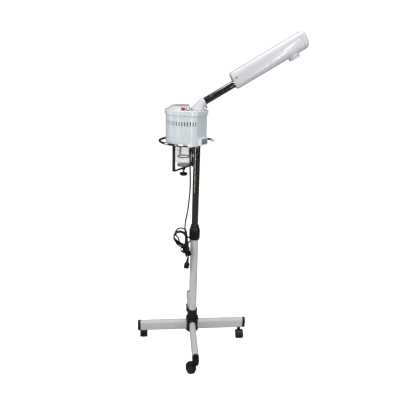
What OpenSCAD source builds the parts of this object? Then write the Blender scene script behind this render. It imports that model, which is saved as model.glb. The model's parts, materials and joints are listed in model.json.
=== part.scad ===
// Facial steamer on a four-leg castor base: height-adjustable column, boiler head with a
// glass jar clamped under it, and a swinging arm that carries the steam nozzle.
// Origin: on the floor, under the middle of the whole outline. +Z up, +X along the arm at rest.

/* [Base] */
// Reach of a leg, from the column axis to the outside of its end cap
leg_reach = 270; // [240:5:320]
// Width of the flat-oval leg tube
leg_w = 28; // [26:1:32]
// Height of the flat-oval leg tube
leg_h = 56; // [52:1:60]
// Height of the leg centre line above the floor
leg_z = 80; // [80:1:90]
// Diameter of a castor wheel
wheel_d = 40; // [38:1:40]
// Distance of a castor stem from the outside of the end cap
stem_inset = 28; // [26:1:34]
// Horizontal offset of a castor wheel behind its stem
castor_trail = 18; // [16:1:20]

/* [Column] */
// Outside diameter of the fixed lower tube
lower_d = 38; // [37:1:40]
// Outside diameter of the sliding upper tube
upper_d = 30; // [29:1:31]
// Height of the top of the lower tube
lower_top = 590; // [570:5:600]
// Height of the lower end of the upper tube
upper_bottom = 280; // [280:5:310]

/* [Head] */
// Angle of the head's back about the column, from +X
head_yaw = -35; // [-38:1:-32]
// Radius of the body's round wall
body_r = 88; // [86:1:90]
// Distance from the body's centre to its flat back
body_flat = 78; // [77:1:80]
// Corner radius between the round wall and the flat back
corner_r = 22; // [18:1:24]
// Distance of the body's centre in front of the column
body_offset = 56; // [54:1:58]
// Height of the body's lower edge
body_z = 987; // [980:1:995]
// Height of the body up to the lid's rim
shell_h = 124; // [118:1:130]
// Height of the lid's rim
lid_h = 20; // [18:1:24]
// Wall thickness of the mouldings
wall = 3; // [2.5:0.1:3.2]
// Number of vent slots on each side
vent_count = 13; // [9:1:13]

/* [Jar and clamp] */
// Outside diameter of the glass jar
jar_d = 72; // [68:1:74]
// Distance of the jar's axis in front of the column
jar_offset = 66; // [64:1:68]
// Height of the jar's underside
jar_z = 895; // [890:1:900]

/* [Arm] */
// Upward tilt of the arm
arm_tilt = 31.6; // [28:0.2:34]
// Reach of the arm from the elbow's bend to the end of the housing
arm_reach = 516; // [480:4:560]
// Outside diameter of the arm tube
arm_d = 30; // [28:1:30]
// Distance along the arm to the start of the housing
housing_start = 174; // [160:2:190]
// Distance along the arm to the nozzle's axis
nozzle_at = 440; // [420:2:450]
// Outside diameter of the nozzle
nozzle_d = 47; // [42:1:50]

/* [Cord] */
// Diameter of the mains lead
cord_d = 7; // [6:0.5:8]

/* [Hidden] */
$fn = 48;

// clearances: a running fit on the radius, and the play between moulded parts
fit = 0.08;
play = 0.4;

// base
leg_inner = 22;
leg_wall = 1.8;
cap_t = 14;
hub_r = 31;
hub_under = 2;
hub_over = 14;
sleeve_r = 24;
sleeve_top = 170;
bolt_at = 27;
stem_r = 5.5;
axle_r = 3;
wheel_r = wheel_d / 2;
stem_z = wheel_r + 22.5;
hood_r = wheel_r + 4;
wheel_w = 12.5;
web_w = 8;
axle_half = web_w / 2 + wheel_w - 1.5;
stem_at = leg_reach - stem_inset;
leg_low = leg_z - leg_h / 2;
// direction of each castor's trail, one per leg: right, back, left, front
castor_turn = [-90, -90, 90, 180];

// column
column_wall = 1.8;
collar_low = lower_top - 41;
collar_top = lower_top + 28;
collar_r = 25;
socket_top = body_z + 53;

// head levels
plate_top = body_z + wall;
lid_low = body_z + shell_h;
lid_top = lid_low + lid_h;
lid_over = 4.5;
hump_h = 15;
hump_side = 22;
hump_r = body_r - 2;
slope_at = 78;
slope_turn = -60;
slope_tilt = 20;
notch_side = -20;
hump_gap = 33;
switch_up = 14;
switch_along = [-10.8, 7.8];
switch_pivot = -1.5;
vent_w = 4;
vent_h = 17;
vent_z = body_z + 83;
vent_step = 7.6;
vent_first = 32;

// elbow
pivot = [-12, 16];
flange_r = 30.5;
spigot_r = 18;
bend_z = lid_top + 17;
socket_r = 19.5;
lock_at = 28;
lock_head = 24.4;

// ring handle
ring_r = 120;
ring_offset = 48;
ring_rod = 5;
ring_gap = 50;
tip_turn = 8;
ring_z = body_z + 10.5;

// boiler and jar clamp
jar_top = body_z + 9;
boiler_r = 42;
strip_w = 14;
strip_t = 3;
strip_y = 78;
bar_z = jar_z - 20;
hinge_y = 70.5;
hinge_z = bar_z + strip_t;
screw_r = 4;
knob_r = 17.5;
heater_z = jar_z + 33;
heater_r = 26;
heater_turn = 35;

// arm housing section: distances above and below the tube's axis, and its depth
house_up = 47;
house_down = 26;
house_depth = 60;
house_round = 25;
house_wall = 2.5;
cap_at = arm_reach - 26;
nozzle_out = 13;
boss_out = 3;
boss_h = 12.9;
shank_r = nozzle_d / 2 - 4;
outlet_r = 11;

// cord: the gland's place under the head, then the lead down to its hank and plug
gland = [-16, -28];
gland_low = body_z - 35;
cord_route = [[-29.2, -13.8, gland_low + 2], [-29.2, -13.8, 935], [-29, -14.2, 905],
    [-28, -15.8, 876], [-26.8, -18.2, 848], [-26.4, -20.8, 820], [-27.2, -23.4, 792],
    [-29, -26, 764], [-31.6, -28.6, 737], [-34.8, -31.4, 710], [-38.6, -34.4, 684],
    [-43.4, -37.2, 659], [-49, -39.6, 634]];
cord_sides = 8;
ring_steps = 2;
hank_y = -40;
hank_t = 30;
plug_top = [-30, hank_y, 472.5];
plug_tilt = 8;

// the outline's middle in X, which is the origin
pivot_x = pivot[0] * cos(head_yaw) - pivot[1] * sin(head_yaw);
pivot_y = pivot[0] * sin(head_yaw) + pivot[1] * cos(head_yaw);
arm_far = pivot_x + (arm_reach - 20) * cos(arm_tilt) + (house_down - 20) * sin(arm_tilt) + 20;
centre_x = (arm_far - leg_reach) / 2;

module placed() translate([-centre_x, 0, 0]) children();
module at_head() placed() rotate([0, 0, head_yaw]) children();
module at_body() at_head() translate([-body_offset, 0, 0]) children();
module at_jar() at_head() translate([-jar_offset, 0, 0]) children();
module at_pivot() at_head() translate([pivot[0], pivot[1], 0]) children();
module at_arm() placed() translate([pivot_x, pivot_y, bend_z]) rotate([0, -arm_tilt, 0]) children();
module at_leg(turn) placed() rotate([0, 0, turn]) children();
module at_castor(k) at_leg(90 * k) translate([stem_at, 0, 0])
    rotate([0, 0, castor_turn[k] - 90 * k]) children();

// a ring or tube about Z
module tube(r, bore, h) {
    difference() {
        cylinder(h = h, r = r);
        translate([0, 0, -1]) cylinder(h = h + 2, r = bore);
    }
}

// a flat-oval section, taller than it is wide
module oval(w, h) {
    square([w, h - w], center = true);
    for (s = [-1, 1]) translate([0, s * (h - w) / 2]) circle(d = w);
}

// an oval bar along +X, between two distances from the axis
module oval_bar(from, to, w, h)
    translate([from, 0, 0]) rotate([90, 0, 90]) linear_extrude(to - from) oval(w, h);

// the head's plan: a circle with a flat back and rounded corners, drawn in by inset
module head_plan(inset) {
    r = body_r - inset;
    f = body_flat - inset;
    c = corner_r - inset;
    turn = acos((f - c) / (r - c));
    corner = [f - c, (r - c) * sin(turn)];
    intersection() {
        circle(r = r, $fn = 96);
        translate([r * cos(turn) - 2 * r, -r]) square([2 * r, 2 * r]);
    }
    translate([0, -corner[1]]) square([f, 2 * corner[1]]);
    for (s = [-1, 1]) translate([corner[0], s * corner[1]]) circle(r = c);
}

// a straight-walled solid of the head's plan
module head_block(inset, low, high)
    translate([0, 0, low]) linear_extrude(high - low) head_plan(inset);

// the raised console on the lid, with a shallow ramp for the switches let into its front
module hump(inset) {
    low_r = hump_r - inset / sin(atan2(hump_h, hump_side));
    high = hump_h - inset;
    difference() {
        cylinder(h = high, r1 = low_r, r2 = low_r - high * hump_side / hump_h, $fn = 96);
        rotate([0, 0, slope_turn])
            translate([slope_at - inset / sin(slope_tilt), notch_side - inset, 0])
            rotate([0, slope_tilt - 90, 0]) translate([0, 0, -50]) cube([80, 200, 200]);
        translate([body_offset + pivot[0], pivot[1], -1]) rotate([0, 0, -head_yaw])
            translate([-hump_gap - inset, -200, 0]) cube([400, 400, hump_h + 2]);
    }
}

// the frame of a switch: x out of the sloped face, y along it, z up it
module at_switch(n) at_body() translate([0, 0, lid_top]) rotate([0, 0, slope_turn])
    translate([slope_at, 0, 0]) rotate([0, slope_tilt - 90, 0])
    translate([0, switch_along[n], switch_up]) children();

// the section of the arm housing, drawn in by inset, in (depth, height)
module house_section(inset) {
    r = house_round - inset;
    w = house_depth - 2 * inset;
    h = house_up + house_down - 2 * inset;
    mid = (house_up - house_down) / 2;
    translate([0, mid]) {
        square([w - 2 * r, h], center = true);
        square([w, h - 2 * r], center = true);
        for (x = [-1, 1], y = [-1, 1]) translate([x * (w / 2 - r), y * (h / 2 - r)]) circle(r = r);
    }
}

// the side view of the arm housing, drawn in by inset, in (length, height)
module house_side(inset) {
    near = 10;
    far = 20 - inset;
    low = -house_down + inset;
    high = house_up - inset;
    start = housing_start + inset;
    end = arm_reach - inset;
    translate([start + near, low]) square([end - far - start - near, high - low]);
    translate([start, low + near]) square([near, high - low - 2 * near]);
    translate([end - far, low + far]) square([far, high - low - 2 * far]);
    for (y = [low + near, high - near]) translate([start + near, y]) circle(r = near);
    for (y = [low + far, high - far]) translate([end - far, y]) circle(r = far);
}

module house_solid(inset) {
    intersection() {
        translate([housing_start, 0, 0]) rotate([90, 0, 90])
            linear_extrude(arm_reach - housing_start) house_section(inset);
        rotate([90, 0, 0]) translate([0, 0, -house_depth]) linear_extrude(2 * house_depth)
            house_side(inset);
    }
}

// a slab across the arm, between two distances along it
module arm_slab(from, to) translate([from, -60, -60]) cube([to - from, 120, 140]);

// ---- base ----

module hub() color("#1b1b1c") placed() difference() {
    union() {
        translate([0, 0, leg_low - hub_under])
            cylinder(h = leg_h + hub_under + hub_over, r = hub_r);
        cylinder(h = sleeve_top, r = sleeve_r);
    }
    translate([0, 0, -1]) cylinder(h = leg_low - hub_under + 1, r = hub_r + 1);
    translate([0, 0, leg_low + 4]) cylinder(h = sleeve_top, d = lower_d);
    for (k = [0:3]) rotate([0, 0, 90 * k]) {
        translate([0, 0, leg_z]) oval_bar(leg_inner, hub_r + 5, leg_w, leg_h);
        translate([bolt_at, 0, leg_low - 20]) cylinder(h = 30, r = 3.1);
    }
}

module legs() color("#c9cac9") for (k = [0:3]) at_leg(90 * k) difference() {
    translate([0, 0, leg_z]) oval_bar(leg_inner, leg_reach - cap_t, leg_w, leg_h);
    translate([0, 0, leg_z]) oval_bar(leg_inner - 1, leg_reach, leg_w - 2 * leg_wall,
        leg_h - 2 * leg_wall);
    translate([bolt_at, 0, leg_low - 5]) cylinder(h = 14, r = 3.1);
    translate([stem_at, 0, leg_low - 5]) cylinder(h = 14, r = stem_r + 2);
}

module leg_caps() color("#161617") for (k = [0:3]) at_leg(90 * k) difference() {
    union() {
        translate([0, 0, leg_z]) oval_bar(leg_reach - cap_t, leg_reach - 3, leg_w + 2, leg_h + 2);
        translate([0, 0, leg_z]) oval_bar(leg_reach - 3, leg_reach, leg_w - 2, leg_h - 2);
        translate([0, 0, leg_z]) oval_bar(leg_reach - 56, leg_reach - cap_t,
            leg_w - 2 * leg_wall, leg_h - 2 * leg_wall);
        translate([stem_at, 0, leg_low - 1]) cylinder(h = 12, r = stem_r + 2);
    }
    translate([stem_at, 0, leg_low - 5]) cylinder(h = 47, r = stem_r + fit);
}

module leg_bolts() color("#8b8d90") for (k = [0:3]) at_leg(90 * k) translate([bolt_at, 0, 0]) {
    translate([0, 0, leg_low - hub_under - 4]) cylinder(h = 4, r = 5.5, $fn = 6);
    translate([0, 0, leg_low - hub_under]) cylinder(h = 10, r = 3);
}

module caster_stems() color("#a9abad") for (k = [0:3]) at_leg(90 * k)
    translate([stem_at, 0, stem_z]) cylinder(h = leg_low + 42 - stem_z, r = stem_r);

// ---- castors, one per leg ----

module castor_hood(k) color("#141414") at_castor(k) difference() {
    union() {
        translate([castor_trail, 0, wheel_r]) rotate([90, 0, 0]) {
            translate([0, 0, -web_w / 2]) linear_extrude(web_w) intersection() {
                circle(r = hood_r);
                translate([-hood_r, -9]) square([2 * hood_r, hood_r + 9]);
            }
            shell_w = web_w + 2 * wheel_w + 3;
            translate([0, 0, -shell_w / 2]) linear_extrude(shell_w) intersection() {
                difference() {
                    circle(r = hood_r);
                    circle(r = wheel_r + 1.6);
                }
                translate([-hood_r, 0]) square([2 * hood_r, hood_r]);
            }
        }
        translate([0, 0, wheel_r + 14]) cylinder(h = leg_low - wheel_r - 16, r = 9);
    }
    translate([castor_trail, 30, wheel_r]) rotate([90, 0, 0]) cylinder(h = 60, r = axle_r);
    translate([0, 0, stem_z]) cylinder(h = 60, r = stem_r + fit);
    for (s = [-1, 1]) translate([castor_trail, s * (web_w / 2 + wheel_w / 2 + 0.6), wheel_r])
        rotate([90, 0, 0]) cylinder(h = wheel_w + 0.8, r = wheel_r + 1.4, center = true);
}

module castor_axle(k) color("#a9abad") at_castor(k)
    translate([castor_trail, axle_half, wheel_r]) rotate([90, 0, 0])
    cylinder(h = 2 * axle_half, r = axle_r);

module castor_wheels(k) color("#202021") at_castor(k) for (s = [-1, 1])
    translate([castor_trail, s * (web_w / 2 + wheel_w / 2 + 0.6), wheel_r]) rotate([90, 0, 0])
    difference() {
        cylinder(h = wheel_w, r = wheel_r, center = true);
        translate([0, 0, s * 1.9]) cylinder(h = wheel_w, r = axle_r + fit, center = true);
        translate([0, 0, -s * (wheel_w / 2 + 0.5)])
            difference() {
                cylinder(h = 5, r = wheel_r - 5, center = true);
                cylinder(h = 6, r = 9, center = true);
            }
    }

module caster_hood_1() castor_hood(0);
module caster_hood_2() castor_hood(1);
module caster_hood_3() castor_hood(2);
module caster_hood_4() castor_hood(3);
module caster_axle_1() castor_axle(0);
module caster_axle_2() castor_axle(1);
module caster_axle_3() castor_axle(2);
module caster_axle_4() castor_axle(3);
module caster_wheels_1() castor_wheels(0);
module caster_wheels_2() castor_wheels(1);
module caster_wheels_3() castor_wheels(2);
module caster_wheels_4() castor_wheels(3);

// ---- column ----

module lower_column() color("#cfcfce") placed() translate([0, 0, leg_low + 4])
    tube(lower_d / 2, lower_d / 2 - column_wall, lower_top - leg_low - 4);

module column_bush() color("#e4e2dc") placed() {
    translate([0, 0, lower_top - 60])
        tube(lower_d / 2 - column_wall, upper_d / 2 + fit, 60);
    translate([0, 0, lower_top]) tube(lower_d / 2, upper_d / 2 + fit, 4);
}

// the twist collar that clamps the upper tube
module height_collar() color("#121213") placed() difference() {
    translate([0, 0, collar_low]) rotate_extrude() polygon([[0, 0], [collar_r - 4, 0],
        [collar_r - 1, 3], [collar_r, 8], [collar_r, 42], [collar_r - 2, 52],
        [upper_d / 2 + 5, 60], [upper_d / 2 + 3.5, collar_top - collar_low],
        [0, collar_top - collar_low]]);
    translate([0, 0, collar_low - 1])
        cylinder(h = lower_top - collar_low + 5, d = lower_d + 2 * fit);
    cylinder(h = collar_top + 1, r = upper_d / 2 + play);
    for (k = [0:11]) rotate([0, 0, 30 * k]) translate([collar_r + 1.6, 0, collar_low + 10])
        cylinder(h = 30, r = 2.4, $fn = 16);
}

module upper_column() color("#8f8a85") placed() translate([0, 0, upper_bottom])
    tube(upper_d / 2, upper_d / 2 - 1.5, socket_top - 4 - upper_bottom);

// ---- head ----

module column_socket() color("#55585c") at_head() difference() {
    union() {
        translate([0, 0, plate_top]) cylinder(h = socket_top - plate_top, r = upper_d / 2 + 3);
        translate([-18, -18, plate_top]) cube([36, 36, 4]);
    }
    cylinder(h = socket_top - 3.9, r = upper_d / 2 + fit);
}

module chassis_plate() color("#9fa3a6") difference() {
    at_body() head_block(wall, body_z, plate_top);
    at_head() cylinder(h = 2 * body_z, r = upper_d / 2 + 1);
    at_jar() cylinder(h = 2 * body_z, r = jar_d / 2 + 2);
    at_head() translate([gland[0], gland[1], 0]) cylinder(h = 2 * body_z, r = 6.5);
}

module vents() for (s = [-1, 1], k = [0:vent_count - 1])
    rotate([0, 0, s * (vent_first + vent_step * k)])
    translate([body_r - wall - 4, -vent_w / 2, vent_z]) cube([wall + 8, vent_w, vent_h]);

module body_shell() color("#ccd3d7") at_body() difference() {
    head_block(0, body_z, lid_top - wall);
    head_block(wall, body_z - 1, lid_top);
    vents();
}

module lid() color("#d3dade") difference() {
    at_body() difference() {
        head_block(-lid_over, lid_low, lid_top);
        head_block(0, lid_low - 1, lid_top - wall);
    }
    at_pivot() cylinder(h = 2 * lid_top, r = spigot_r + 3);
    at_body() translate([0, 0, lid_top - wall - 1]) intersection() {
        cylinder(h = wall + 2, r = hump_r - 9);
        translate([body_offset + pivot[0], pivot[1], -1]) rotate([0, 0, -head_yaw])
            translate([-hump_gap - 2 - 400, -200, 0]) cube([400, 400, wall + 4]);
    }
}

module control_panel() color("#dddfe4") difference() {
    at_body() translate([0, 0, lid_top]) difference() {
        hump(0);
        translate([0, 0, -0.01]) hump(2.5);
    }
    for (n = [0, 1]) at_switch(n) translate([-15, -6.2, -10.3]) cube([30, 12.4, 20.6]);
}

module switch_bodies() color("#1a1a1b") for (n = [0, 1]) at_switch(n) difference() {
    union() {
        translate([0, -7, -11]) cube([1.6, 14, 22]);
        translate([-20, -6, -10.2]) cube([20, 12, 20.4]);
        for (z = [-5, 0, 5]) translate([-27, -0.4, z - 2.4]) cube([8, 0.8, 4.8]);
    }
    translate([-12, -5.1, -9.4]) cube([15, 10.2, 18.8]);
    translate([switch_pivot, 10, 0]) rotate([90, 0, 0]) cylinder(h = 20, r = 1.5 + fit);
}

// a rocker cap on its pivot pins, thrown to its off side
module rocker() translate([switch_pivot, 0, 0]) rotate([0, -9, 0]) rotate([90, 0, 0]) {
    translate([0, 0, -4.8]) linear_extrude(9.6) intersection() {
        circle(r = 8.9);
        polygon([[-3, -9], [4.7, -9], [2.9, 0], [4.7, 9], [-3, 9]]);
    }
    translate([0, 0, -5.8]) cylinder(h = 11.6, r = 1.5);
}

module power_rocker() color("#d2201c") at_switch(0) rocker();
module ozone_rocker() color("#e9e9ea") at_switch(1) rocker();

// an open ring of rod about the head, welded to four short posts
module ring_handle() color("#b9b6b2") difference() {
    union() {
        at_head() translate([-ring_offset, 0, ring_z]) rotate([0, 0, ring_gap + tip_turn])
            rotate_extrude(angle = 360 - 2 * (ring_gap + tip_turn), $fn = 96)
            translate([ring_r, 0]) circle(r = ring_rod);
        at_head() translate([-ring_offset, 0, ring_z]) for (turn = [-108, -66, 66, 108])
            rotate([0, 0, turn]) rotate([0, 90, 0]) cylinder(h = ring_r, r = 3.5);
    }
    at_body() head_block(0, body_z - 20, lid_top);
}

module handle_tips() color("#e6dfcd") at_head() translate([-ring_offset, 0, ring_z])
    for (s = [0, 1]) mirror([0, s, 0]) {
        rotate([0, 0, ring_gap]) rotate_extrude(angle = tip_turn, $fn = 96)
            translate([ring_r, 0]) circle(r = ring_rod + 1.2);
        rotate([0, 0, ring_gap]) translate([ring_r, 0, 0]) sphere(r = ring_rod + 1.2);
    }

// a closed box on the flat back, with a blank plate let into its face
module rear_box() color("#e8ebee") at_body() difference() {
    translate([body_flat, -27, body_z + 3]) cube([14, 54, 30]);
    translate([body_flat + 13, -23.5, body_z + 6.5]) cube([2, 47, 23]);
}

module boiler_head() color("#c3c4c2") difference() {
    at_jar() union() {
        translate([0, 0, plate_top]) cylinder(h = 15, r = boiler_r);
        translate([0, 0, plate_top + 15]) cylinder(h = 8, r = 12);
    }
    at_jar() {
        translate([0, 0, plate_top - 1]) cylinder(h = 10, r = jar_d / 2 + 2);
        cylinder(h = plate_top + 30, r = 6.5);
        rotate([0, 0, heater_turn]) for (y = [-6, 6])
            translate([heater_r * cos(asin(6 / heater_r)), y, 0]) cylinder(h = 2 * jar_z, r = 3.3);
        rotate([0, 0, heater_turn]) translate([-16, 0, 0]) cylinder(h = 2 * jar_z, r = 5);
    }
}

module jar_gasket() color("#c9c6bd") at_jar() translate([0, 0, jar_top])
    tube(jar_d / 2 + 1, jar_d / 2 - 6, plate_top + 9 - jar_top);

// glass jar: thick base, rounded heel, straight wall
module jar() color("#cfe0e6", 0.4) at_jar() translate([0, 0, jar_z]) difference() {
    rotate_extrude($fn = 72) {
        square([jar_d / 2 - 10, jar_top - jar_z]);
        translate([0, 10]) square([jar_d / 2, jar_top - jar_z - 10]);
        translate([jar_d / 2 - 10, 10]) circle(r = 10);
    }
    translate([0, 0, 4]) rotate_extrude($fn = 72) {
        square([jar_d / 2 - 10.6, jar_top - jar_z]);
        translate([0, 8]) square([jar_d / 2 - 2.6, jar_top - jar_z]);
        translate([jar_d / 2 - 10.6, 8]) circle(r = 8);
    }
}

// sheathed element: an open loop brazed into two lead tubes
module heater() color("#6e6b68") at_jar() rotate([0, 0, heater_turn]) {
    open = asin(6 / heater_r);
    translate([0, 0, heater_z]) rotate([0, 0, open])
        rotate_extrude(angle = 360 - 2 * open, $fn = 72) translate([heater_r, 0]) circle(r = 2.8);
    for (y = [-6, 6]) translate([heater_r * cos(open), y, heater_z - 4])
        cylinder(h = plate_top + 32 - heater_z, r = 3.3);
}

module level_probe() color("#c9b99b") at_jar() rotate([0, 0, heater_turn])
    translate([-16, 0, heater_z + 6]) cylinder(h = plate_top + 24 - heater_z - 6, r = 5);

// fixed strip on the far side, slotted, that carries the hinge block
module bracket_hanger() color("#a8a49c") at_jar() difference() {
    translate([-9, strip_y + 1, hinge_z - 9]) cube([18, strip_t, body_z - hinge_z + 9]);
    translate([0, strip_y, hinge_z + 40]) rotate([-90, 0, 0]) linear_extrude(strip_t + 2)
        oval(5, 16);
}

module bracket_hinge() color("#19191a") at_jar() {
    difference() {
        translate([-10, hinge_y - 7.5, hinge_z - 9]) cube([20, strip_y + 8.5 - hinge_y, 20]);
        translate([-strip_w / 2 - 0.3, hinge_y - 10, hinge_z - 12])
            cube([strip_w + 0.6, 17, 30]);
    }
    translate([-10, hinge_y, hinge_z]) rotate([0, 90, 0]) cylinder(h = 20, r = 2.5);
}

// swinging strap under the jar, with a threaded boss for the clamp screw
module jar_bracket() color("#3a3430") at_jar() difference() {
    union() {
        translate([-strip_w / 2, -strip_y - strip_t / 2, bar_z])
            cube([strip_w, strip_y + hinge_y + strip_t / 2, strip_t]);
        translate([-strip_w / 2, -strip_y - strip_t / 2, bar_z])
            cube([strip_w, strip_t, body_z - bar_z - 0.5]);
        translate([-strip_w / 2, hinge_y, hinge_z]) rotate([0, 90, 0])
            cylinder(h = strip_w, r = 5.5);
        translate([0, 0, bar_z - 6]) cylinder(h = 6, r = 8);
    }
    translate([0, 0, bar_z - 10]) cylinder(h = 20, r = screw_r + fit);
    translate([-strip_w, hinge_y, hinge_z]) rotate([0, 90, 0])
        cylinder(h = 2 * strip_w, r = 2.5 + fit);
}

module clamp_screw() color("#b08d4f") at_jar() translate([0, 0, bar_z - 23])
    cylinder(h = jar_z - 8 - bar_z + 23, r = screw_r);

module clamp_knob() color("#111112") at_jar() translate([0, 0, bar_z - 32]) difference() {
    union() {
        translate([0, 0, 3]) cylinder(h = 8, r = knob_r);
        cylinder(h = 3, r1 = knob_r - 4, r2 = knob_r);
        translate([0, 0, 11]) cylinder(h = 3, r1 = knob_r, r2 = 9);
    }
    for (k = [0:7]) rotate([0, 0, 45 * k]) translate([knob_r + 2, 0, -1])
        cylinder(h = 20, r = 3.6, $fn = 24);
    translate([0, 0, 9]) cylinder(h = 20, r = screw_r);
}

module pressure_plate() color("#6f6c66") at_jar() translate([0, 0, jar_z - 8]) {
    cylinder(h = 3, r = 29);
    tube(29, 26.5, 5);
}

module plate_pad() color("#b9b7b0") at_jar() translate([0, 0, jar_z - 5]) cylinder(h = 5, r = 26);

// rigid pipe from the boiler outlet up, across and up into the elbow, with a block at each turn
module steam_pipe() color("#bfc3c4") at_jar() {
    low = plate_top + 23;
    level = lid_top - 56;
    span = norm([jar_offset + pivot[0], pivot[1]]);
    rotate([0, 0, atan2(pivot[1], jar_offset + pivot[0])]) difference() {
        union() {
            translate([0, 0, low]) cylinder(h = level - low, r = 8);
            translate([span, 0, level]) cylinder(h = 51, r = 8);
            translate([0, 0, level]) rotate([0, 90, 0]) cylinder(h = span, r = 7.5);
            for (x = [0, span]) translate([x, 0, level - 11]) cylinder(h = 22, r = 11);
        }
        translate([0, 0, low - 1]) cylinder(h = level - low + 1, r = 6);
        translate([span, 0, level]) cylinder(h = 60, r = 6);
        translate([0, 0, level]) rotate([0, 90, 0]) cylinder(h = span, r = 5.5);
    }
}

module transformer() color("#4b4d50") at_head() translate([-14, 44, plate_top]) {
    translate([-16, -14, 0]) cube([32, 28, 3]);
    translate([-13, -14, 3]) cube([26, 28, 26]);
    translate([-15, -9, 7]) cube([30, 18, 18]);
}

// cord gland: a nut above the plate and a tapered strain relief below it
module cord_gland() color("#0f0f10") at_head() translate([gland[0], gland[1], 0]) difference() {
    union() {
        translate([0, 0, plate_top]) cylinder(h = 5, r = 9.5, $fn = 6);
        translate([0, 0, body_z - 1]) cylinder(h = wall + 1.5, r = 6.4);
        translate([0, 0, body_z - 4]) cylinder(h = 4, r = 8.5);
        translate([0, 0, gland_low]) cylinder(h = body_z - 4 - gland_low, r1 = cord_d / 2 + 1, r2 = 6.5);
    }
    translate([0, 0, gland_low - 1]) cylinder(h = 60, r = cord_d / 2);
}

// ---- arm ----

module elbow() color("#dcdae0") difference() {
    union() {
        hull() {
            at_pivot() translate([0, 0, lid_top + 3.5]) cylinder(h = 4, r = flange_r - 1, $fn = 40);
            at_pivot() translate([0, 0, lid_top + 14]) cylinder(h = 8, r1 = 28, r2 = 26, $fn = 40);
            at_arm() rotate([0, 90, 0]) cylinder(h = 34, r = socket_r, $fn = 40);
        }
        at_pivot() translate([0, 0, lid_top + 0.5]) cylinder(h = 4, r = flange_r);
        at_pivot() translate([0, 0, lid_top - 12]) cylinder(h = 13, r = spigot_r);
    }
    at_pivot() translate([0, 0, lid_top - 20]) cylinder(h = 34, r = 9);
    at_arm() rotate([0, 90, 0]) cylinder(h = 40, r = 9);
    at_arm() translate([8, 0, 0]) rotate([0, 90, 0]) cylinder(h = 40, r = arm_d / 2 + fit);
    at_arm() translate([lock_at, 0, 0]) rotate([180, 0, 0]) cylinder(h = 40, r = 2.5 + fit);
}

module elbow_bush() color("#efeee9") at_pivot() {
    translate([0, 0, lid_top - 11]) tube(spigot_r + 3, spigot_r + fit, 11.5);
    translate([0, 0, lid_top - wall - 4]) tube(spigot_r + 7, spigot_r + 3, 4);
}

module elbow_lock_screw() color("#151516") at_arm() translate([lock_at, 0, 0]) rotate([180, 0, 0]) {
    translate([0, 0, arm_d / 2 + play]) cylinder(h = 11, r = 2.5);
    translate([0, 0, lock_head]) cylinder(h = 4, r = 4.5);
}

module arm_tube() color("#8e8a86") at_arm() translate([8, 0, 0]) rotate([0, 90, 0])
    tube(arm_d / 2, arm_d / 2 - 1.5, housing_start + 22);

module arm_housing() color("#cdccd2") at_arm() difference() {
    union() {
        house_solid(0);
        translate([nozzle_at, 0, -house_down - boss_out]) cylinder(h = boss_h, d = nozzle_d);
    }
    difference() {
        house_solid(house_wall);
        translate([nozzle_at, 0, -house_down - boss_out]) cylinder(h = boss_h, d = nozzle_d);
        rotate([0, 90, 0]) cylinder(h = housing_start + 30, r = arm_d / 2 + 4);
        arm_slab(nozzle_at - nozzle_d / 2 - 4, nozzle_at - nozzle_d / 2 - 1.5);
    }
    arm_slab(cap_at, arm_reach + 10);
    rotate([0, 90, 0]) cylinder(h = housing_start + 40, r = arm_d / 2);
    rotate([0, 90, 0]) cylinder(h = nozzle_at, r = 8);
    translate([nozzle_at, 0, -house_down - 10]) cylinder(h = 30, r = shank_r + fit);
}

module arm_end_cap() color("#d6d5da") at_arm() difference() {
    union() {
        difference() {
            house_solid(0);
            arm_slab(0, cap_at + 0.3);
        }
        difference() {
            house_solid(house_wall + 0.05);
            arm_slab(0, cap_at - 6);
        }
    }
    difference() {
        house_solid(house_wall + 2);
        arm_slab(0, cap_at - 12);
    }
}

// silicone duct from the arm tube to a hood above the nozzle
module steam_duct() color("#d8d4cc") at_arm() difference() {
    union() {
        translate([housing_start + 32, 0, 0]) rotate([0, 90, 0])
            cylinder(h = nozzle_at - housing_start - 32, r = 8);
        translate([nozzle_at, 0, -11]) cylinder(h = 24, r = 16);
    }
    translate([housing_start, 0, 0]) rotate([0, 90, 0]) cylinder(h = nozzle_at - housing_start, r = 6.5);
    translate([nozzle_at, 0, -20]) cylinder(h = 30, r = 14);
}

// tubular ozone lamp with its end holder
module ozone_lamp() color("#b9c6e6") at_arm() translate([nozzle_at - 98, 0, 26]) {
    rotate([0, 90, 0]) cylinder(h = 66, r = 5);
    translate([-14, -8, -8]) cube([14, 16, 16]);
}

// nozzle: a ring below the housing's boss, on a shank with a lip above the boss
module nozzle() color("#dddbe0") at_arm() translate([nozzle_at, 0, -house_down]) difference() {
    union() {
        translate([0, 0, -nozzle_out]) cylinder(h = nozzle_out - boss_out - play, d = nozzle_d);
        translate([0, 0, -nozzle_out]) cylinder(h = nozzle_out + 12, r = shank_r);
        translate([0, 0, boss_h - boss_out + 0.1]) cylinder(h = 2, r = shank_r + 2);
    }
    translate([0, 0, -nozzle_out - 1]) cylinder(h = 60, r = outlet_r);
    translate([0, 0, -nozzle_out - 1]) cylinder(h = 4, r1 = 18.5, r2 = 14.5);
}

// ---- cord ----

function unit(v) = v / norm(v);
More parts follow.
